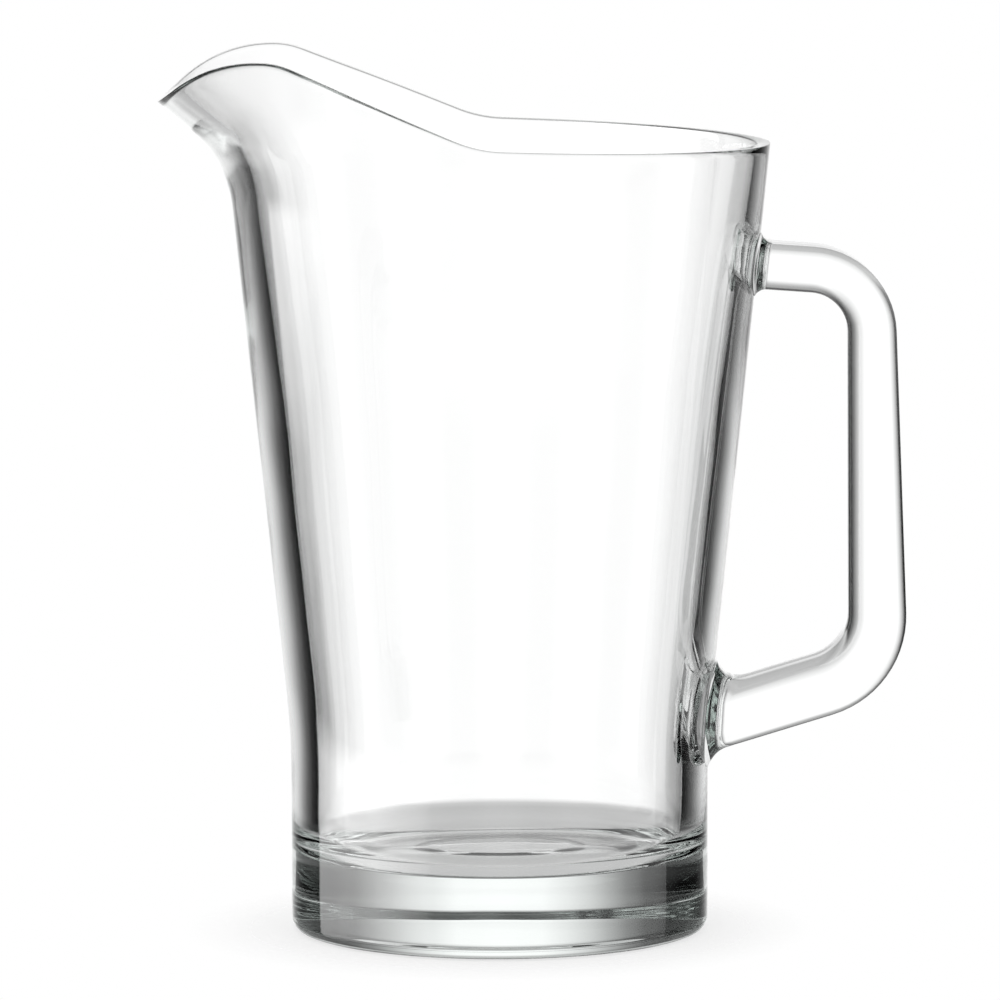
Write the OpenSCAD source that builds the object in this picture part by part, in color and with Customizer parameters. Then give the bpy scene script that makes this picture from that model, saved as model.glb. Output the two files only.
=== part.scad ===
// Beer pitcher: a heavy pressed glass vessel and the glass handle that is stuck to its wall.
// Millimetres, +Z up. The origin is the middle of the ring that the vessel stands on.
// The handle is on the +X side, and the spout is on the -X side.

/* [Vessel] */
// Outside diameter of the straight foot
foot_d = 111; // [90:1:130]
// Outside diameter of the rim on the handle side
rim_d = 144; // [126:1:170]
// Height of the rim on the handle side
rim_h = 209.5; // [190:0.5:225]
// Height at which the straight foot turns into the cone
waist_h = 52; // [40:1:75]
// Radius of the soft bend between foot and cone
waist_r = 225; // [60:5:300]
// Radius of the rounded heel
heel_r = 4; // [1:0.5:8]
// Wall thickness from the floor to the height where it starts to thin
wall = 7; // [5:0.1:9]
// Wall thickness at the rim
rim_wall = 4.6; // [3:0.1:6]
// Height at which the wall starts to thin toward the rim
thin_h = 140; // [100:1:175]
// Thickness of the solid glass under the floor
floor_t = 20; // [8:0.5:28]
// Radius of the inside corner between floor and wall
floor_r = 9; // [2:0.5:20]
// Width of the ring that the vessel stands on
stand_w = 12; // [5:0.5:25]
// Height of the shallow hollow inside that ring
hollow_h = 1.5; // [0.5:0.1:4]
// Width of the slope round the edge of that hollow
hollow_slope = 10; // [2:0.5:14]

/* [Rim and spout] */
// Rise of the rim half way round, above the rim on the handle side
middle_rise = 2.5; // [0:0.5:10]
// Slope of the rise toward the crest, in degrees
rise_a = 22.5; // [12:0.5:35]
// Radius of the hollow bend where the rise starts
valley_r = 35; // [5:1:60]
// Rise of the crest beside the spout, above the rim on the handle side
crest_rise = 24; // [18:0.5:36]
// Radius of the crest on its side toward the handle
crest_back_r = 20; // [8:1:30]
// Radius of the crest on its side toward the spout tip
crest_front_r = 35; // [8:1:40]
// Length of the level stretch between those two radii
crest_flat = 1; // [0.5:0.5:6]
// Slope of the fall from the crest to the spout tip, in degrees
fall_a = 40; // [25:0.5:45]
// Reach of the spout tip beyond the rim
spout_out = 17; // [10:0.5:24]
// Rise of the spout tip, above the rim on the handle side
tip_rise = 12; // [8:0.5:15]
// Lean of the spout's underside from upright, in degrees
spout_a = 50; // [30:1:55]
// Radius of the bend from the wall into that underside
spout_bend_r = 31; // [15:1:60]
// Radius of the bend from that underside up into the lip
lip_r = 2.5; // [1:0.5:8]
// Height of the lip, from the corner of that bend to the tip
lip_h = 1.5; // [1:0.5:6]
// Radius of the spout's nose, seen from above
nose_r = 52; // [30:1:60]

/* [Handle] */
// Reach of the handle's outside beyond the rim, at the top of the grip
handle_out = 32.5; // [24:0.5:45]
// Depth of the middle of the upper arm below the rim, where it leaves the wall
upper_drop = 32.3; // [22:0.1:50]
// Slope of the upper arm down toward the grip, in degrees
upper_a = 4; // [0:0.5:12]
// Height of the middle of the lower arm where it leaves the wall
lower_h = 56; // [40:1:80]
// Slope of the lower arm up toward the grip, in degrees
lower_a = 17; // [5:0.5:28]
// Outward lean of the grip from top to bottom, in degrees
lean_a = 1.2; // [0:0.1:4]
// Thickness of the upper arm and of the top of the grip
upper_t = 12.4; // [9:0.1:18]
// Thickness of the lower arm and of the bottom of the grip
lower_t = 15.8; // [9:0.1:20]
// Width of the handle across its flat sides
handle_w = 20; // [12:0.5:28]
// Radius of the handle's long edges
edge_r = 5; // [1:0.5:6]
// Radius of the upper bend, at the middle of the bar
upper_bend_r = 17; // [11:0.5:24]
// Radius of the lower bend, at the middle of the bar
lower_bend_r = 20; // [12:0.5:26]
// Radius of the flare where the upper arm meets the wall
upper_flare_r = 4; // [1:0.5:8]
// Radius of the flare where the lower arm meets the wall
lower_flare_r = 5.5; // [1:0.5:8]

/* [Hidden] */
$fn = 160;
glass = [0.86, 0.91, 0.89, 0.55];
// How far a cutter runs past what it cuts
over = 10;
// How deep the roots of the spout and of the handle start inside the wall
root = 0.5;
// How far round the flare of an arm turns before its edge meets the wall, in degrees
flare_a = 68;
// Steps in an arc of an outline, in the flare of an arm, in the grip and in an edge of the handle
arc_n = 10;
flare_n = 6;
grip_n = 8;
edge_n = 5;

foot_r = foot_d / 2;
rim_r = rim_d / 2;
middle_h = rim_h + middle_rise;
crest_h = rim_h + crest_rise;
top_h = crest_h + over;
cone_a = atan2(rim_r - foot_r, rim_h - waist_h);

// Points and corners

function unit(v) = v / norm(v);

// The arc of radius r that rounds the corner b between a and c
function corner(a, b, c, r) =
    let (
        u = unit(a - b),
        v = unit(c - b),
        half = acos(u * v) / 2,
        middle = b + unit(u + v) * r / sin(half),
        from = b + u * r / tan(half) - middle,
        to = b + v * r / tan(half) - middle,
        start = atan2(from.y, from.x),
        turn = atan2(from.x * to.y - from.y * to.x, from * to)
    )
    [for (i = [0:arc_n]) middle + r * [cos(start + turn * i / arc_n), sin(start + turn * i / arc_n)]];

// A line through the points, with each inner point rounded by its own radius
function rounded(points, radii) =
    [for (i = [0:len(points) - 1])
        each radii[i] > 0 ? corner(points[i - 1], points[i], points[i + 1], radii[i]) : [points[i]]];

// Points from a up to, but not including, b
function steps(a, b, n) = [for (i = [0:n - 1]) a + (b - a) * i / n];

// Wall of the vessel, as radius over height

// Half the height of the soft bend at the waist
bend_h = waist_r * tan(cone_a / 2);

function wall_r(z) = foot_r + tan(cone_a)
    * (max(0, z - waist_h) + pow(max(0, bend_h - abs(z - waist_h)), 2) / (4 * bend_h));

function wall_t(z) = wall + (rim_wall - wall) * min(1, max(0, (z - thin_h) / (rim_h - thin_h)));

function inside_r(z) = wall_r(z) - wall_t(z);

outside_line = rounded(
    [[0, 0], [foot_r, 0], [foot_r, waist_h], [wall_r(top_h), top_h], [0, top_h]],
    [0, heel_r, waist_r, 0, 0]);

inside_line = rounded(
    [[0, floor_t], [inside_r(0), floor_t], [inside_r(0), waist_h], [inside_r(thin_h), thin_h],
     [inside_r(rim_h), rim_h], [inside_r(top_h), top_h], [0, top_h]],
    [0, floor_r, waist_r, 0, 0, 0, 0]);

module outside_of_vessel() rotate_extrude() polygon(outside_line);

module inside_of_vessel() rotate_extrude() polygon(inside_line);

// The hollow under the base leaves the ring that the vessel stands on
stand_r = foot_r - heel_r - stand_w;

module hollow_under_base()
    translate([0, 0, -over]) {
        cylinder(r = stand_r, h = over);
        translate([0, 0, over]) cylinder(r1 = stand_r, r2 = stand_r - hollow_slope, h = hollow_h);
    }

// Spout: a flared nose about its own upright axis, which grows out of the wall. The points of its outline
// are the foot inside the wall, the corner with the underside and the corner with the lip.

spout_reach = rim_r + spout_out;
tip_h = rim_h + tip_rise;
nose_x = spout_reach - nose_r;
lip_corner = [spout_reach, tip_h - lip_h];
bend_z = (wall_r(rim_h) - root - rim_h * tan(cone_a) - lip_corner.x + lip_corner.y * tan(spout_a))
    / (tan(spout_a) - tan(cone_a));
bend_corner = [wall_r(bend_z) - root, bend_z];
spout_foot = bend_corner
    - (spout_bend_r * tan((spout_a - cone_a) / 2) + root) * [sin(cone_a), cos(cone_a)];
lip_t = wall_t(spout_foot.y);

// Direction into the glass from a line that leans outward by a
function into(a) = [-cos(a), sin(a)];

// A corner between two lines, moved with them by t into the glass
function set_back(point, a, b, t) = point + t * (into(a) + into(b)) / (1 + into(a) * into(b));

// Outline of the nose about its axis, set back by t from the outside of the glass
function nose_line(t) =
    let (
        foot = spout_foot + t * into(cone_a),
        bend = set_back(bend_corner, cone_a, spout_a, t),
        lip = set_back(lip_corner, spout_a, 0, t),
        line = rounded([foot, bend, lip, [lip.x, top_h]], [0, spout_bend_r + t, max(root, lip_r - t), 0])
    )
    concat([[0, foot.y]], [for (p = line) p - [nose_x, 0]], [[0, top_h]]);

module nose(t) translate([-nose_x, 0, 0]) rotate_extrude() polygon(nose_line(t));

// Rim: what lies above its side outline is cut away. X runs toward the spout.

// Corners of the crest, above the fall to the tip and above the rise
crest_front = [spout_reach - (crest_h - tip_h) / tan(fall_a), crest_h];
crest_l = crest_front_r * tan(fall_a / 2) + crest_flat + crest_back_r * tan(rise_a / 2);
crest_back = crest_front - [crest_l, 0];
valley_point = [crest_back.x - (crest_h - middle_h) / tan(rise_a), middle_h];
back_slope = (middle_h - rim_h) / (valley_point.x + rim_r);
back_point = [-rim_r - over, rim_h - over * back_slope];
front_point = [spout_reach + over, tip_h - over * tan(fall_a)];

module above_rim()
    rotate([90, 0, 180])
        linear_extrude(height = 2 * wall_r(top_h) + over, center = true)
            polygon(concat(
                rounded([back_point, valley_point, crest_back, crest_front, front_point],
                    [0, valley_r, crest_back_r, crest_front_r, 0]),
                [[front_point.x, top_h + over], [back_point.x, top_h + over]]));

// Handle: a bar with rounded edges, swept along a line in the XZ plane

grip_x = rim_r + handle_out - upper_t / 2;
upper_h = rim_h - upper_drop;
upper_joint = [wall_r(upper_h), upper_h];
lower_joint = [wall_r(lower_h), lower_h];
upper_dir = [cos(upper_a), -sin(upper_a)];
lower_dir = [cos(lower_a), sin(lower_a)];
upper_corner = upper_joint + upper_dir * (grip_x - upper_joint.x) / upper_dir.x;
// The leaning grip and the rising lower arm meet here
lower_run = (grip_x + (upper_corner.y - lower_h) * tan(lean_a) - lower_joint.x)
    / (lower_dir.x + lower_dir.y * tan(lean_a));
lower_corner = lower_joint + lower_dir * lower_run;

upper_bend = corner(upper_joint, upper_corner, lower_corner, upper_bend_r);
lower_bend = corner(upper_corner, lower_corner, lower_joint, lower_bend_r);

// Middle line of the bar between the two arms, from the top down
grip = steps(upper_bend[arc_n], lower_bend[0], grip_n);
middle_line = concat(upper_bend, [for (i = [1:grip_n - 1]) grip[i]], lower_bend);

// Thickness of the bar grows down the grip
function bar_t(z) =
    let (s = min(1, max(0, (upper_corner.y - z) / (upper_corner.y - lower_corner.y))))
    upper_t + (lower_t - upper_t) * s * s;

// Section of the bar, t thick and spread by s. A point runs along the thickness and the width.
function section(t, s) =
    let (flat = [t / 2 - edge_r, handle_w / 2 - edge_r])
    [for (q = [0:3], k = [0:edge_n])
        let (
            a = 90 * (q + k / edge_n),
            side = [(q == 0 || q == 3) ? 1 : -1, q < 2 ? 1 : -1]
        )
        [side.x * flat.x, side.y * flat.y] + (edge_r + s) * [cos(a), sin(a)]];

// A section set square across the bar at a point of its middle line
function placed(outline, at, along) =
    [for (p = outline) [at.x - along.y * p.x, p.y, at.y + along.x * p.x]];

function wall_gap(point) = norm([point.x, point.y]) - wall_r(point.z);

// A point moved along an arm until it lies on the wall
function onto_wall(point, way, tries = 8) =
    tries == 0 ? point : onto_wall(point - way * wall_gap(point), way, tries - 1);

// Rings of a flare from the arm to the wall: they spread, follow the curve of the wall and sink into it
function flare(joint, along, dir, t, r) =
    let (way = [dir.x, 0, dir.y])
    [for (i = [0:flare_n + 1])
        let (
            a = flare_a * min(1, i / flare_n),
            lift = i > flare_n ? -root : r * (1 - sin(a))
        )
        [for (p = placed(section(t, r * (1 - cos(a))), joint, along))
            onto_wall(p, way) + way * lift]];

upper_flare = flare(upper_joint, upper_dir, upper_dir, upper_t, upper_flare_r);
lower_flare = flare(lower_joint, -lower_dir, lower_dir, lower_t, lower_flare_r);

stations = len(middle_line);
bar_rings = [for (i = [0:stations - 1])
    let (along = i == 0 ? upper_dir
        : i == stations - 1 ? -lower_dir
        : unit(middle_line[i + 1] - middle_line[i - 1]))
    placed(section(bar_t(middle_line[i].y), 0), middle_line[i], along)];

module bar() {
    rings = concat([for (i = [flare_n + 1:-1:0]) upper_flare[i]], bar_rings, lower_flare);
    last = len(rings) - 1;
    sides = len(rings[0]);
    skin = [for (i = [0:last - 1], j = [0:sides - 1])
        let (k = (j + 1) % sides)
        each [
            [i * sides + j, (i + 1) * sides + j, (i + 1) * sides + k],
            [i * sides + j, (i + 1) * sides + k, i * sides + k]]];
    first_cap = [[for (j = [0:sides - 1]) j]];
    last_cap = [[for (j = [sides - 1:-1:0]) last * sides + j]];
    polyhedron([for (ring = rings) each ring], concat(first_cap, skin, last_cap), convexity = 6);
}

// Pieces

module body()
    color(glass)
        difference() {
            union() {
                outside_of_vessel();
                nose(0);
            }
            inside_of_vessel();
            nose(lip_t);
            above_rim();
            hollow_under_base();
        }

module handle()
    color(glass)
        difference() {
            bar();
            outside_of_vessel();
        }

body();
handle();
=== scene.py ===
"""Beer pitcher: the looks of its glass body and of the glass handle stuck to it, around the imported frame.

Sizes are in millimetres, as in the part's source, and become metres where a mesh is made. +Z is up, the
handle is on the +X side and the spout on the -X side.
"""

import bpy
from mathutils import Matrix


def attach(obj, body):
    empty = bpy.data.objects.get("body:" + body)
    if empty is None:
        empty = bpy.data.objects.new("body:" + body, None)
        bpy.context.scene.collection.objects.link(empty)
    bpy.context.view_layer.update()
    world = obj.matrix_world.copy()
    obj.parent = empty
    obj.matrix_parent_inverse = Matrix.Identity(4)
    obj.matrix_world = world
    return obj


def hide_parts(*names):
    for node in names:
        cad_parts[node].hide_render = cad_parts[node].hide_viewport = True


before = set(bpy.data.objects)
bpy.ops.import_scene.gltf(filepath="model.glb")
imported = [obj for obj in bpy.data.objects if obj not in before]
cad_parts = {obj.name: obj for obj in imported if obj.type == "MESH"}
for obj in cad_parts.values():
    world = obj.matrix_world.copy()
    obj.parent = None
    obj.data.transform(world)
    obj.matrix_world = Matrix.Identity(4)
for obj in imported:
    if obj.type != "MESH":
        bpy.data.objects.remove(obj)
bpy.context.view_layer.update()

import math

import bmesh
import bpy
import numpy as np
from mathutils import Quaternion, Vector

MM = 0.001

# Vessel
FOOT_R = 55.5
RIM_R = 72.0
RIM_H = 209.5
WAIST_H = 52.0
WAIST_R = 225.0
HEEL_R = 3.2
WALL = 7.0
RIM_WALL = 4.6
THIN_H = 140.0
# How far the plunger stood off the axis at the mouth, toward the handle
OFF_AXIS = 0.9
FLOOR_T = 20.0
FLOOR_R = 9.0
STAND_W = 12.0
HOLLOW_H = 1.5
HOLLOW_SLOPE = 10.0
# Boss that the plunger leaves in the middle of the floor
BOSS_R = 22.0
BOSS_H = 0.7
BOSS_EDGE = 5.0

# Rim and spout
MIDDLE_H = RIM_H + 2.5
RISE = math.radians(22.5)
VALLEY_R = 35.0
CREST_H = RIM_H + 24.0
CREST_BACK_R = 20.0
CREST_FRONT_R = 35.0
CREST_FLAT = 1.0
FALL = math.radians(40)
SPOUT_REACH = RIM_R + 17.0
TIP_H = RIM_H + 12.0
SPOUT_LEAN = math.radians(50)
SPOUT_BEND_R = 31.0
LIP_H = 1.5
# The rim's edges: radius of the outer one, depth and height of the drawn-out inner one
RIM_OUT_R = 0.2
RIM_IN_D = 0.35
RIM_IN_H = 2.2
# How far the top of the rim falls toward the inside
RIM_FALL = 0.18
# Half the angle round the vessel that the spout takes up
SPOUT_HALF = math.radians(55)

# Handle
GRIP_OUT = RIM_R + 32.65
UPPER_H = RIM_H - 32.3
UPPER_SLOPE = math.radians(4)
LOWER_H = 56.0
LOWER_SLOPE = math.radians(17)
LEAN = math.radians(1.2)
UPPER_T = 12.4
LOWER_T = 15.8
HANDLE_W = 20.0
# Radii of the bar's edges, on the side of the fingers and on the outer side
INNER_EDGE_R = 5.0
OUTER_EDGE_R = 3.5
UPPER_BEND_R = 17.0
LOWER_BEND_R = 20.0
# Radii of the flared ends, on the outer side and on the side of the fingers
UPPER_FLARE = (4.0, 3.0)
LOWER_FLARE = (5.5, 10.0)
FLARE_TURN = math.radians(68)
# How deep the ends of the handle sink into the wall
SINK = 0.4
# How far the melted face stays inside the edge of a flared end, in metres
JOINT_INSET = 0.0003
# Past this distance toward the back, in metres, the two skins stay
JOINT_BACK = 0.001

# Mesh steps
COLUMNS = 264
ARC_STEPS = 14
LINE_STEPS = 200
EDGE_STEPS = 10
FLARE_STEPS = 10
GRIP_STEPS = 24
UPPER_WALL_STEPS = 30
# Up to this height the rings of the wall are level. Above it they turn into the line of the rim.
LEVEL_H = 168.0
# Radii of the smallest ring of the underside and of the floor
UNDERSIDE_MIDDLE_R = 6
FLOOR_MIDDLE_R = 3
# Rounds in which a height settles on the line of the rim, and a flared end on the wall
RIM_ROUNDS = 40
WALL_ROUNDS = 8

CONE = math.atan2(RIM_R - FOOT_R, RIM_H - WAIST_H)
BEND_H = WAIST_R * math.tan(CONE / 2)


def unit(v):
    return v / np.linalg.norm(v, axis=-1, keepdims=True)


def corner(a, b, c, r, steps):
    """Arc of radius r that rounds the corner b between a and c."""
    u, v = unit(a - b), unit(c - b)
    half = math.acos(float(u @ v)) / 2
    middle = b + unit(u + v) * r / math.sin(half)
    first = b + u * r / math.tan(half) - middle
    last = b + v * r / math.tan(half) - middle
    start = math.atan2(first[1], first[0])
    turn = math.atan2(first[0] * last[1] - first[1] * last[0], float(first @ last))
    angles = start + turn * np.linspace(0, 1, steps + 1)
    return middle + r * np.stack([np.cos(angles), np.sin(angles)], axis=1)


def rounded(points, radii):
    """Line through the points, with each inner point rounded by its own radius."""
    points = [np.array(p, float) for p in points]
    line = []
    for i, r in enumerate(radii):
        if r == 0:
            line.append(points[i : i + 1])
        else:
            line.append(corner(points[i - 1], points[i], points[i + 1], r, LINE_STEPS))
    return np.concatenate(line)


# Vessel


def wall_r(z):
    bend = np.maximum(0, BEND_H - np.abs(z - WAIST_H)) ** 2 / (4 * BEND_H)
    return FOOT_R + math.tan(CONE) * (np.maximum(0, z - WAIST_H) + bend)


def wall_t(turn, z):
    thinned = WALL + (RIM_WALL - WALL) * np.clip((z - THIN_H) / (RIM_H - THIN_H), 0, 1)
    return thinned + OFF_AXIS * np.clip(z / RIM_H, 0, 1) * np.cos(turn)


def spout_line():
    """Outline of the spout in its middle plane: the wall and the underside, which runs on past the tip."""
    lip = np.array([SPOUT_REACH, TIP_H - LIP_H])
    lean, cone = math.tan(SPOUT_LEAN), math.tan(CONE)
    bend_z = (RIM_R - RIM_H * cone - lip[0] + lip[1] * lean) / (lean - cone)
    bend = np.array([RIM_R + (bend_z - RIM_H) * cone, bend_z])
    below = bend - 2 * SPOUT_BEND_R * np.array([math.sin(CONE), math.cos(CONE)])
    beyond = lip + 2 * (CREST_H - TIP_H) * np.array([lean, 1])
    return rounded([below, bend, beyond], [0, SPOUT_BEND_R, 0])


def rim_line():
    """Side outline of the rim. X runs toward the spout."""
    front = np.array([SPOUT_REACH - (CREST_H - TIP_H) / math.tan(FALL), CREST_H])
    top = CREST_BACK_R * math.tan(RISE / 2) + CREST_FLAT + CREST_FRONT_R * math.tan(FALL / 2)
    back = front - [top, 0]
    valley = [back[0] - (CREST_H - MIDDLE_H) / math.tan(RISE), MIDDLE_H]
    past_tip = [SPOUT_REACH + LIP_H, TIP_H - LIP_H * math.tan(FALL)]
    return rounded([[-RIM_R, RIM_H], valley, back, front, past_tip],
                   [0, VALLEY_R, CREST_BACK_R, CREST_FRONT_R, 0])


SPOUT = spout_line()
RIM = rim_line()


def outside(turn, z):
    """Points on the outside of the wall. The turn is counted from the middle of the spout."""
    flare = np.maximum(0, np.interp(z, SPOUT[:, 1], SPOUT[:, 0], left=0) - wall_r(z))
    share = np.clip(np.abs(turn) / SPOUT_HALF, 0, 1)
    r = wall_r(z) + flare * (1 + np.cos(math.pi * share)) / 2
    return np.stack([-r * np.cos(turn), r * np.sin(turn), z + 0 * turn], axis=-1)


def slopes(turn, z):
    """How the outside changes with the turn and with the height."""
    d_turn, d_z = 1e-3, 0.2
    along = (outside(turn + d_turn, z) - outside(turn - d_turn, z)) / (2 * d_turn)
    up = (outside(turn, z + d_z) - outside(turn, z - d_z)) / (2 * d_z)
    return along, up


def within(turn, z, share, offset):
    """Points inside the wall at a level depth: a share of its thickness and an offset, from the outside."""
    along, up = slopes(turn, z)
    out = unit(np.cross(up, along))
    level = np.hypot(out[:, 0], out[:, 1])
    depth = share * wall_t(turn, z) / level + offset
    across = np.stack([out[:, 0], out[:, 1], 0 * level], axis=1) / level[:, None]
    return outside(turn, z) - across * depth[:, None]


def rim_height(turn, share, offset, below):
    """Height at which such a depth in the wall is this far below the outline of the rim."""
    z = np.full_like(turn, RIM_H)
    for _ in range(RIM_ROUNDS):
        x = within(turn, z, share, offset)[:, 0]
        z = z + 0.5 * (np.interp(-x, RIM[:, 0], RIM[:, 1]) - below - z)
    return z


def rim_rings(turn):
    """Rings over the rim: a tight outer edge, a flat top and a drawn-out inner edge."""
    quarter = np.linspace(0, math.pi / 2, ARC_STEPS // 2 + 1)
    outer = [(0, RIM_OUT_R * (1 - math.cos(a)), RIM_OUT_R * (1 - math.sin(a))) for a in quarter]
    inner = [(1, -RIM_IN_D * (1 - math.sin(a)), RIM_FALL + RIM_IN_H * (1 - math.cos(a))) for a in quarter]
    rings = []
    for share, offset, below in outer + inner:
        rings.append(within(turn, rim_height(turn, share, offset, below), share, offset))
    return rings


def ring(r, z, turn):
    return np.stack([-r * np.cos(turn), r * np.sin(turn), np.full_like(turn, z)], axis=-1)


def smooth(x):
    x = np.clip(x, 0, 1)
    return x * x * (3 - 2 * x)


def foot_rings(turn):
    """Rings of the hollow underside, of the ring that the vessel stands on and of the heel."""
    heel_r = FOOT_R - HEEL_R
    stand_r = heel_r - STAND_W
    hollow_r = stand_r - HOLLOW_SLOPE
    radii = np.concatenate([np.linspace(UNDERSIDE_MIDDLE_R, hollow_r, 5),
                            np.linspace(hollow_r + 1.5, stand_r, 7),
                            np.linspace(stand_r + 3, heel_r, 4)])
    rings = [ring(r, HOLLOW_H * (1 - smooth((r - hollow_r) / HOLLOW_SLOPE)), turn) for r in radii]
    for a in np.linspace(0, math.pi / 2, ARC_STEPS // 2 + 1)[1:]:
        rings.append(ring(heel_r + HEEL_R * math.sin(a), HEEL_R - HEEL_R * math.cos(a), turn))
    return rings


def wall_levels(turn):
    """Heights of the level rings of the wall, above the heel."""
    levels = np.concatenate([np.linspace(HEEL_R, WAIST_H - BEND_H, 7)[1:],
                             np.linspace(WAIST_H - BEND_H, WAIST_H + BEND_H, 9)[1:],
                             np.linspace(WAIST_H + BEND_H, LEVEL_H, 10)[1:]])
    return [np.full_like(turn, z) for z in levels]


def wall_rings(turn):
    """Rings up the outside of the wall, over the rim, and down the inside to the fillet of the floor."""
    levels = wall_levels(turn)
    shares = np.linspace(0, 1, UPPER_WALL_STEPS + 1)[1:-1]
    outer_edge = rim_height(turn, 0, 0, RIM_OUT_R)
    inner_edge = rim_height(turn, 1, 0, RIM_FALL + RIM_IN_H)
    fillet_top = FLOOR_T + FLOOR_R
    rings = [outside(turn, z) for z in levels]
    rings += [outside(turn, LEVEL_H + (outer_edge - LEVEL_H) * s) for s in shares]
    rings += rim_rings(turn)
    rings += [within(turn, LEVEL_H + (inner_edge - LEVEL_H) * s, 1, 0) for s in reversed(shares)]
    rings += [within(turn, z, 1, 0) for z in reversed(levels) if z[0] > fillet_top + 1]
    return rings


def floor_rings(turn):
    """Rings of the fillet round the floor and of the floor with its boss."""
    flat_r = FOOT_R - WALL - FLOOR_R
    rings = []
    for a in np.linspace(0, math.pi / 2, ARC_STEPS + 1):
        rings.append(ring(flat_r + FLOOR_R * math.cos(a), FLOOR_T + FLOOR_R - FLOOR_R * math.sin(a), turn))
    for r in np.linspace(flat_r, FLOOR_MIDDLE_R, 19)[1:]:
        rings.append(ring(r, FLOOR_T + BOSS_H * (1 - smooth((r - BOSS_R) / BOSS_EDGE + 0.5)), turn))
    return rings


def body_rings():
    """Rings of the vessel from the underside over the rim to the floor, and the middle of both."""
    turn = 2 * math.pi * np.arange(COLUMNS) / COLUMNS - math.pi
    rings = foot_rings(turn) + wall_rings(turn) + floor_rings(turn)
    return rings, [0, 0, HOLLOW_H], [0, 0, FLOOR_T + BOSS_H]


# Handle


def flat(a):
    return np.array([math.cos(a), math.sin(a)])


# Direction of each point of the bar's outline, and the corner that it rounds
EDGE_TURN = np.concatenate([(q + np.linspace(0, 1, EDGE_STEPS + 1)) * math.pi / 2 for q in range(4)])
EDGE_CORNER = np.repeat([[1, 1], [-1, 1], [-1, -1], [1, -1]], EDGE_STEPS + 1, axis=0)


def section(t, spread):
    """Outline of the bar, t thick. A point runs along the thickness and the width."""
    r = np.where(EDGE_CORNER[:, 0] > 0, OUTER_EDGE_R, INNER_EDGE_R)
    middle = EDGE_CORNER * (np.array([t, HANDLE_W]) / 2 - r[:, None])
    return middle + (r + spread)[:, None] * np.stack([np.cos(EDGE_TURN), np.sin(EDGE_TURN)], axis=1)


def placed(outline, at, along):
    """The outline set across a line that runs along at this point of the middle plane."""
    thick, wide = outline[:, 0], outline[:, 1]
    return np.stack([at[0] - along[1] * thick, wide, at[1] + along[0] * thick], axis=-1)


def onto_wall(points, way):
    for _ in range(WALL_ROUNDS):
        gap = np.hypot(points[:, 0], points[:, 1]) - wall_r(points[:, 2])
        points = points - way * gap[:, None]
    return points


def flare_rings(joint, along, arm, t, radii):
    """Rings of a flared end, from the arm to inside the wall."""
    way = np.array([arm[0], 0, arm[1]])
    r = radii[0] + (radii[1] - radii[0]) * np.maximum(0, -np.cos(EDGE_TURN)) ** 2
    rings = []
    for a in np.linspace(0, FLARE_TURN, FLARE_STEPS + 1):
        outline = section(t, r * (1 - math.cos(a)))
        rings.append(onto_wall(placed(outline, joint, along), way) + way * r[:, None] * (1 - math.sin(a)))
    rings.append(onto_wall(rings[-1], way) - way * SINK)
    return rings


def handle_rings():
    """Rings of the handle from inside the wall at its upper end to inside the wall at its lower end."""
    grip_x = GRIP_OUT - UPPER_T / 2
    upper_joint = np.array([float(wall_r(UPPER_H)), UPPER_H])
    lower_joint = np.array([float(wall_r(LOWER_H)), LOWER_H])
    upper_arm, lower_arm = flat(-UPPER_SLOPE), flat(LOWER_SLOPE)
    upper_corner = upper_joint + upper_arm * (grip_x - upper_joint[0]) / upper_arm[0]
    run = grip_x + (upper_corner[1] - LOWER_H) * math.tan(LEAN) - lower_joint[0]
    lower_corner = lower_joint + lower_arm * run / (lower_arm[0] + lower_arm[1] * math.tan(LEAN))

    upper_bend = corner(upper_joint, upper_corner, lower_corner, UPPER_BEND_R, ARC_STEPS)
    lower_bend = corner(upper_corner, lower_corner, lower_joint, LOWER_BEND_R, ARC_STEPS)
    grip = np.linspace(upper_bend[-1], lower_bend[0], GRIP_STEPS + 1)[1:-1]
    line = np.concatenate([upper_bend, grip, lower_bend])
    along = unit(np.gradient(line, axis=0))
    along[0], along[-1] = upper_arm, -lower_arm

    rings = flare_rings(upper_joint, upper_arm, upper_arm, UPPER_T, UPPER_FLARE)[::-1]
    for at, way in zip(line, along):
        down = np.clip((upper_corner[1] - at[1]) / (upper_corner[1] - lower_corner[1]), 0, 1)
        rings.append(placed(section(UPPER_T + (LOWER_T - UPPER_T) * down, 0), at, way))
    rings += flare_rings(lower_joint, -lower_arm, lower_arm, LOWER_T, LOWER_FLARE)
    return rings


# Meshes


def skin_faces(count, sides):
    """Faces between the points of this many rings, and from the first and last ring to a point each."""
    first = count * sides
    last = first + 1
    top = (count - 1) * sides
    after = [(j + 1) % sides for j in range(sides)]
    faces = []
    for low in range(0, top, sides):
        high = low + sides
        for j, k in enumerate(after):
            faces.append((low + j, low + k, high + k, high + j))
    for j, k in enumerate(after):
        faces.append((first, k, j))
        faces.append((last, top + j, top + k))
    return faces


def skin(name, rings, first_tip, last_tip):
    """A closed mesh over rings of equal length, with a point in the middle of each end."""
    points = np.concatenate([np.concatenate(rings), [first_tip, last_tip]]) * MM
    mesh = bpy.data.meshes.new(name)
    mesh.from_pydata(points.tolist(), [], skin_faces(len(rings), len(rings[0])))
    shaped = bmesh.new()
    shaped.from_mesh(mesh)
    bmesh.ops.recalc_face_normals(shaped, faces=shaped.faces)
    shaped.to_mesh(mesh)
    shaped.free()
    mesh.polygons.foreach_set("use_smooth", [True] * len(mesh.polygons))
    piece = bpy.data.objects.new(name, mesh)
    bpy.context.scene.collection.objects.link(piece)
    return piece


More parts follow.
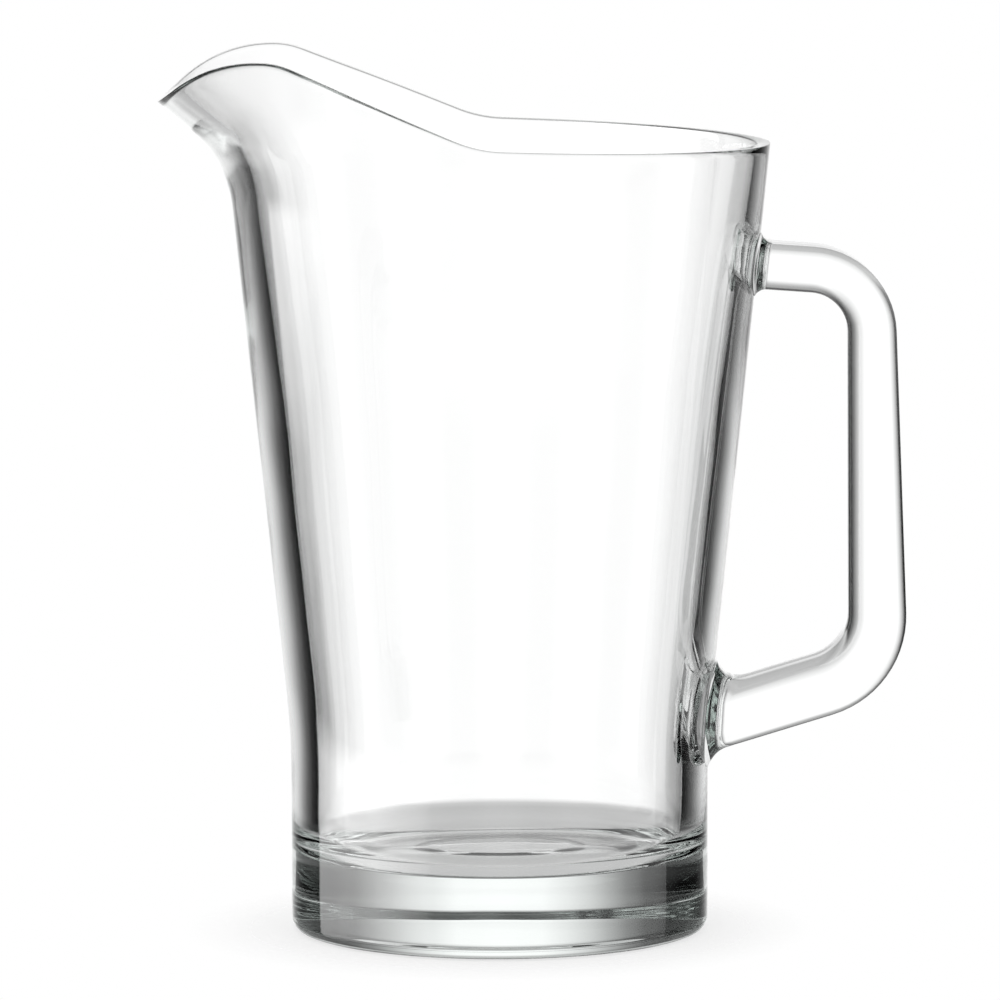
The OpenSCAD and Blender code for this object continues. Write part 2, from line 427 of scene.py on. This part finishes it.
def mark_ends(mesh, sides):
    """Marks the first and last ring of the handle and the points in their middles."""
    marks = np.zeros(len(mesh.vertices))
    marks[:sides] = 1
    marks[-sides - 2:] = 1
    mesh.attributes.new("sunk", "FLOAT", "POINT").data.foreach_set("value", marks)


# Materials


class Nodes:
    """Short ways to add nodes to a tree and to link them."""

    def __init__(self, tree):
        self.tree = tree
        tree.nodes.clear()

    def add(self, kind, *inputs, **settings):
        made = self.tree.nodes.new(kind)
        for key, value in settings.items():
            setattr(made, key, value)
        for socket, value in zip(made.inputs, inputs):
            self.set(socket, value)
        return made

    def set(self, socket, value):
        if isinstance(value, bpy.types.NodeSocket):
            self.tree.links.new(value, socket)
        elif value is not None:
            socket.default_value = value

    def math(self, operation, *inputs):
        return self.add("ShaderNodeMath", *inputs, operation=operation).outputs[0]

    def mix(self, share, a, b):
        return self.add("ShaderNodeMixRGB", share, a, b).outputs[0]

    def noise(self, place, scale, detail):
        made = self.add("ShaderNodeTexNoise", place)
        self.set(made.inputs["Scale"], scale)
        self.set(made.inputs["Detail"], detail)
        return made.outputs["Fac"]

    def ramp(self, value, stops):
        """Brightness over a value from 0 to 1."""
        made = self.add("ShaderNodeValToRGB", value)
        elements = made.color_ramp.elements
        elements.remove(elements[1])
        for i, (position, level) in enumerate(stops):
            element = elements[0] if i == 0 else elements.new(position)
            element.position = position
            element.color = (level, level, level, 1)
        return made.outputs["Color"]


WHITE = (1, 1, 1, 1)
GLASS_IOR = 1.52
GLASS_TINT = (0.70, 0.82, 0.77, 1.0)
GLASS_DENSITY = 2.5
# Waves in the skin of the glass
WAVE_SCALE = 28.0
WAVE_DETAIL = 1.0
WAVE_STRENGTH = 0.25
WAVE_DEPTH = 0.0006
# Smears on the skin: the noise between the first two numbers gives a roughness between the last two
SMEAR_SCALE = 45.0
SMEAR_DETAIL = 3.0
SMEAR_ROUGHNESS = (0.5, 0.8, 0.0, 0.02)


def glass(name, joined):
    """Clear soda-lime glass: faint waves and smears on its skin, a breath of green in its depth.

    Where it is melted to the other piece, it has no skin.
    """
    material = bpy.data.materials.new(name)
    material.use_nodes = True
    nodes = Nodes(material.node_tree)
    place = nodes.add("ShaderNodeTexCoord").outputs["Object"]
    smears = nodes.noise(place, SMEAR_SCALE, SMEAR_DETAIL)
    bump = nodes.add("ShaderNodeBump")
    nodes.set(bump.inputs["Strength"], WAVE_STRENGTH)
    nodes.set(bump.inputs["Distance"], WAVE_DEPTH)
    nodes.set(bump.inputs["Height"], nodes.noise(place, WAVE_SCALE, WAVE_DETAIL))
    rough = nodes.add("ShaderNodeMapRange", smears, *SMEAR_ROUGHNESS).outputs[0]
    surface = nodes.add("ShaderNodeBsdfPrincipled", WHITE)
    nodes.set(surface.inputs["Roughness"], rough)
    nodes.set(surface.inputs["IOR"], GLASS_IOR)
    nodes.set(surface.inputs["Transmission Weight"], 1.0)
    nodes.set(surface.inputs["Normal"], bump.outputs["Normal"])
    nodes.set(surface.inputs["Alpha"], nodes.math("SUBTRACT", 1.0, joined(nodes, place)))
    depth = nodes.add("ShaderNodeVolumeAbsorption", GLASS_TINT, GLASS_DENSITY)
    nodes.add("ShaderNodeOutputMaterial", surface.outputs[0], depth.outputs[0])
    return material


def sunk(nodes, place):
    """Mask of the ends of the handle, inside the wall."""
    mark = nodes.add("ShaderNodeAttribute", attribute_name="sunk").outputs["Fac"]
    ends = nodes.math("GREATER_THAN", mark, 0.5)
    y = nodes.add("ShaderNodeSeparateXYZ", place).outputs["Y"]
    return nodes.math("MULTIPLY", ends, nodes.math("LESS_THAN", y, JOINT_BACK))


def footprint(nodes, y, z, end):
    """Mask of what lies under an end of the handle: a slot with round ends."""
    low, high = end.min(axis=0) * MM, end.max(axis=0) * MM
    half_w = high[1] - JOINT_INSET
    half_h = (high[2] - low[2]) / 2 - JOINT_INSET
    r = min(half_w, half_h)
    up = nodes.math("SUBTRACT", z, (high[2] + low[2]) / 2)
    off_y = nodes.math("SUBTRACT", nodes.math("ABSOLUTE", y), half_w - r)
    off_z = nodes.math("SUBTRACT", nodes.math("ABSOLUTE", up), half_h - r)
    past_y = nodes.math("MAXIMUM", off_y, 0.0)
    past_z = nodes.math("MAXIMUM", off_z, 0.0)
    past = nodes.add("ShaderNodeCombineXYZ", past_y, past_z).outputs[0]
    length = nodes.add("ShaderNodeVectorMath", past, operation="LENGTH").outputs["Value"]
    return nodes.math("LESS_THAN", length, r)


def covered_by(upper_end, lower_end):
    """Way to mask the wall under the ends of the handle."""
    def covered(nodes, place):
        x, y, z = nodes.add("ShaderNodeSeparateXYZ", place).outputs
        under = nodes.math("MAXIMUM", footprint(nodes, y, z, upper_end), footprint(nodes, y, z, lower_end))
        front = nodes.math("MULTIPLY", under, nodes.math("LESS_THAN", y, JOINT_BACK))
        return nodes.math("MULTIPLY", front, nodes.math("GREATER_THAN", x, 0.0))
    return covered


# Studio


# Brightness of the surroundings that the glass sees, over an angle in degrees. The first is the wall
# behind the pitcher as the photograph has it, to either side of straight behind. The second is the
# strips of the other walls, to either side of every eighth of a turn.
WALL_BEHIND = ((0, 1.08), (8, 1.06), (13, 0.88), (17.5, 0.69), (22, 0.46), (27, 0.24), (33, 0.08),
               (41, 0.012), (50, 0.0), (65, 0.0), (75, 0.04))
STRIPS = ((0, 1.0), (7, 1.0), (9, 0.9), (12, 0.5), (16, 0.1), (22.5, 0.04))
STRIP_TURN = 45
WALL_TURN = 75
# Rays through both walls of the vessel see a white card of this half width in either dark side. Such rays
# have crossed more than this many faces.
CARD_HALF = 10
CARD_FACES = 3
# The strips are there below this height, and paler ones above it
STRIP_HEIGHTS = ((-14.5, 1), (-12.5, 0))
PALE_STRIPS = ((0, 1.0), (7, 1.0), (14, 0.86), (22.5, 0.8))
# Over the height: from the grey table over the white wall to the dark ceiling, with a light above the
# mouth, and where the table ends
HEIGHTS = ((-60, 0.6), (-48, 0.4), (-36, 0.42), (-28, 0.55), (-24, 0.68), (-20, 0.8), (-15, 0.92),
           (-10, 1.0), (10, 1.0), (13, 0.82), (17, 0.57), (22, 0.4), (30, 0.35), (34, 0.1), (38, 0.03),
           (55, 0.03), (75, 0.12))
TABLE = ((-25, 1), (-20.5, 0))
# Softbox on the left, which shows only as a reflection: its brightness over the turn, and its lower edge
SOFTBOX = ((-147, 0.0), (-138, 2.2), (-128, 3.4), (-108, 5.5), (-84, 4.8), (-62, 3.0), (-60.5, 0.0))
SOFTBOX_HEIGHTS = ((-14, 0), (-11, 1))


def over(nodes, value, span, stops):
    """Brightness over a value in degrees from -span to span."""
    share = nodes.math("ADD", nodes.math("DIVIDE", value, 2 * span), 0.5)
    return nodes.ramp(share, [(d / (2 * span) + 0.5, level) for d, level in stops])


def studio_walls(nodes, path, turn, height):
    """What glass sees round it: a white wall with dark sides, strips beyond it, and a table."""
    side = nodes.math("ABSOLUTE", turn)
    strip_turn = nodes.math("PINGPONG", side, STRIP_TURN / 2)
    strip_share = nodes.math("SUBTRACT", over(nodes, height, 90, STRIP_HEIGHTS), path["Is Reflection Ray"])
    strips = nodes.mix(strip_share, over(nodes, strip_turn, STRIP_TURN / 2, PALE_STRIPS),
                       over(nodes, strip_turn, STRIP_TURN / 2, STRIPS))
    behind = nodes.math("LESS_THAN", side, WALL_TURN)
    walls = nodes.mix(behind, strips, over(nodes, side, WALL_TURN, WALL_BEHIND))
    card = nodes.math("MULTIPLY", nodes.math("COMPARE", side, STRIP_TURN, CARD_HALF),
                      nodes.math("GREATER_THAN", path["Transmission Depth"], CARD_FACES))
    room = nodes.mix(nodes.math("MAXIMUM", card, over(nodes, height, 90, TABLE)), walls, WHITE)
    levels = over(nodes, height, 90, HEIGHTS)
    return nodes.add("ShaderNodeVectorMath", room, levels, operation="MULTIPLY").outputs[0]


def studio_softbox(nodes, path, turn, height):
    """The softbox, for rays that are mirrored before they enter the glass."""
    softbox = nodes.math("MULTIPLY", over(nodes, turn, 180, SOFTBOX),
                         over(nodes, height, 90, SOFTBOX_HEIGHTS))
    first = nodes.math("LESS_THAN", path["Transmission Depth"], 1)
    return nodes.math("MULTIPLY", softbox, nodes.math("MULTIPLY", path["Is Reflection Ray"], first))


def studio_world():
    """White to the camera and to matt surfaces. Glass sees the studio's walls, table and softbox."""
    world = bpy.data.worlds.new("studio")
    bpy.context.scene.world = world
    world.use_nodes = True
    nodes = Nodes(world.node_tree)
    way = nodes.add("ShaderNodeSeparateXYZ", nodes.add("ShaderNodeTexCoord").outputs["Generated"]).outputs
    turn = nodes.math("DEGREES", nodes.math("ARCTAN2", way["X"], way["Y"]))
    height = nodes.math("DEGREES", nodes.math("ARCSINE", way["Z"]))
    path = nodes.add("ShaderNodeLightPath").outputs
    walls = studio_walls(nodes, path, turn, height)
    softbox = studio_softbox(nodes, path, turn, height)
    lit = nodes.add("ShaderNodeVectorMath", walls, softbox, operation="MAXIMUM").outputs[0]
    plain = nodes.math("MAXIMUM", path["Is Camera Ray"], path["Is Diffuse Ray"])
    light = nodes.add("ShaderNodeBackground", nodes.mix(plain, lit, WHITE))
    nodes.add("ShaderNodeOutputWorld", light.outputs[0])


FLOOR_RADIUS = 0.3
FLOOR_SIDES = 96
FLOOR_COLOUR = (0.97, 0.97, 0.97, 1)
# The floor lies a hair below the foot, and fades into the white round it between these distances
FLOOR_GAP = 0.0002
FADE = (0.05, 0.085)
# Share of the floor's white that the shadow can take away
SHADE = 0.3
# The glass shows a glossy table round the foot, out to these distances: from above a grey glow that is the
# pitcher's painted shadow, a mirror at a shallow angle. The gloss is over the share that the view leans
# away from straight down.
TABLE_FADE = (0.14, 0.18)
# Painted shadow: the grey that the table round the foot shows to the glass, in place of the pitcher's
# shadow
PAINTED_TABLE_SHADOW = (0.57, 0.57, 0.57, 1)
GLOSS = ((0.0, 0.0), (0.48, 0.02), (0.59, 0.22), (0.74, 0.72), (0.86, 1.0))


def white_floor(nodes, distance, clear):
    """What the camera sees: white with the object's shadow, fading out."""
    matt = nodes.add("ShaderNodeBsdfDiffuse", FLOOR_COLOUR).outputs[0]
    white = nodes.add("ShaderNodeEmission", WHITE).outputs[0]
    shaded = nodes.add("ShaderNodeMixShader", SHADE, white, matt).outputs[0]
    fade = nodes.add("ShaderNodeMapRange", distance, *FADE, interpolation_type="SMOOTHSTEP").outputs[0]
    return nodes.add("ShaderNodeMixShader", fade, shaded, clear).outputs[0]


def glossy_table_with_painted_shadow(nodes, distance, clear):
    """What the glass shows of the floor: a mirror, and round the foot a grey emission that is the pitcher's
    painted shadow.
    """
    # Painted shadow: a grey glow stands in for the pitcher's shadow on the table, seen only through the
    # glass
    grey = nodes.add("ShaderNodeEmission", PAINTED_TABLE_SHADOW).outputs[0]
    mirror = nodes.add("ShaderNodeBsdfAnisotropic", WHITE, 0.0).outputs[0]
    leaning = nodes.add("ShaderNodeLayerWeight", 0.5).outputs["Facing"]
    table = nodes.add("ShaderNodeMixShader", nodes.ramp(leaning, GLOSS), grey, mirror).outputs[0]
    fade = nodes.add("ShaderNodeMapRange", distance, *TABLE_FADE).outputs[0]
    return nodes.add("ShaderNodeMixShader", fade, table, clear).outputs[0]


def floor_material():
    material = bpy.data.materials.new("floor_white")
    material.use_nodes = True
    nodes = Nodes(material.node_tree)
    place = nodes.add("ShaderNodeTexCoord").outputs["Object"]
    distance = nodes.add("ShaderNodeVectorMath", place, operation="LENGTH").outputs["Value"]
    clear = nodes.add("ShaderNodeBsdfTransparent").outputs[0]
    seen = white_floor(nodes, distance, clear)
    through = glossy_table_with_painted_shadow(nodes, distance, clear)
    path = nodes.add("ShaderNodeLightPath").outputs
    by_glass = nodes.math("MAXIMUM", path["Is Transmission Ray"], path["Is Glossy Ray"])
    surface = nodes.add("ShaderNodeMixShader", by_glass, seen, through).outputs[0]
    nodes.add("ShaderNodeOutputMaterial", surface)
    return material


def studio_floor():
    mesh = bpy.data.meshes.new("floor")
    disc = bmesh.new()
    bmesh.ops.create_circle(disc, cap_ends=True, segments=FLOOR_SIDES, radius=FLOOR_RADIUS)
    disc.to_mesh(mesh)
    disc.free()
    mesh.materials.append(floor_material())
    floor = bpy.data.objects.new("floor", mesh)
    floor.location.z = -FLOOR_GAP
    bpy.context.scene.collection.objects.link(floor)
    return floor


# Camera of the photograph
CAMERA_BACK = 2.06
CAMERA_H = 0.3465
AIM_H = 0.1145
CAMERA_SIDE = 0.0003
CAMERA_ROLL = math.radians(0.137)
LENS = 281.0
SENSOR_W = 36


def studio_camera():
    camera = bpy.data.objects.new("camera", bpy.data.cameras.new("camera"))
    camera.location = (CAMERA_SIDE, -CAMERA_BACK, CAMERA_H)
    aim = Vector((0, CAMERA_BACK, AIM_H - CAMERA_H))
    roll = Quaternion((0, 0, 1), -CAMERA_ROLL)
    camera.rotation_euler = (aim.to_track_quat("-Z", "Y") @ roll).to_euler()
    camera.data.lens = LENS
    camera.data.sensor_width = SENSOR_W
    bpy.context.scene.collection.objects.link(camera)
    bpy.context.scene.camera = camera


# Light goes far inside thick glass
MAX_BOUNCES = 32
GLOSSY_BOUNCES = 24

bar = handle_rings()
upper_end, lower_end = bar[0], bar[-1]
glass_body = skin("glass_body", *body_rings())
glass_handle = skin("glass_handle", bar, upper_end.mean(axis=0), lower_end.mean(axis=0))
mark_ends(glass_handle.data, len(upper_end))
covered = covered_by(upper_end, lower_end)
for piece, cad_node, slot, joined in ((glass_body, "body", "vessel_glass", covered),
                                      (glass_handle, "handle", "handle_glass", sunk)):
    piece.data.materials.append(glass(slot, joined))
    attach(piece, "root")
    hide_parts(cad_node)

floor = studio_floor()
studio_world()
studio_camera()
bpy.context.scene.view_settings.view_transform = "Standard"
bpy.context.scene.cycles.max_bounces = MAX_BOUNCES
bpy.context.scene.cycles.glossy_bounces = GLOSSY_BOUNCES
bpy.context.scene.cycles.transmission_bounces = MAX_BOUNCES
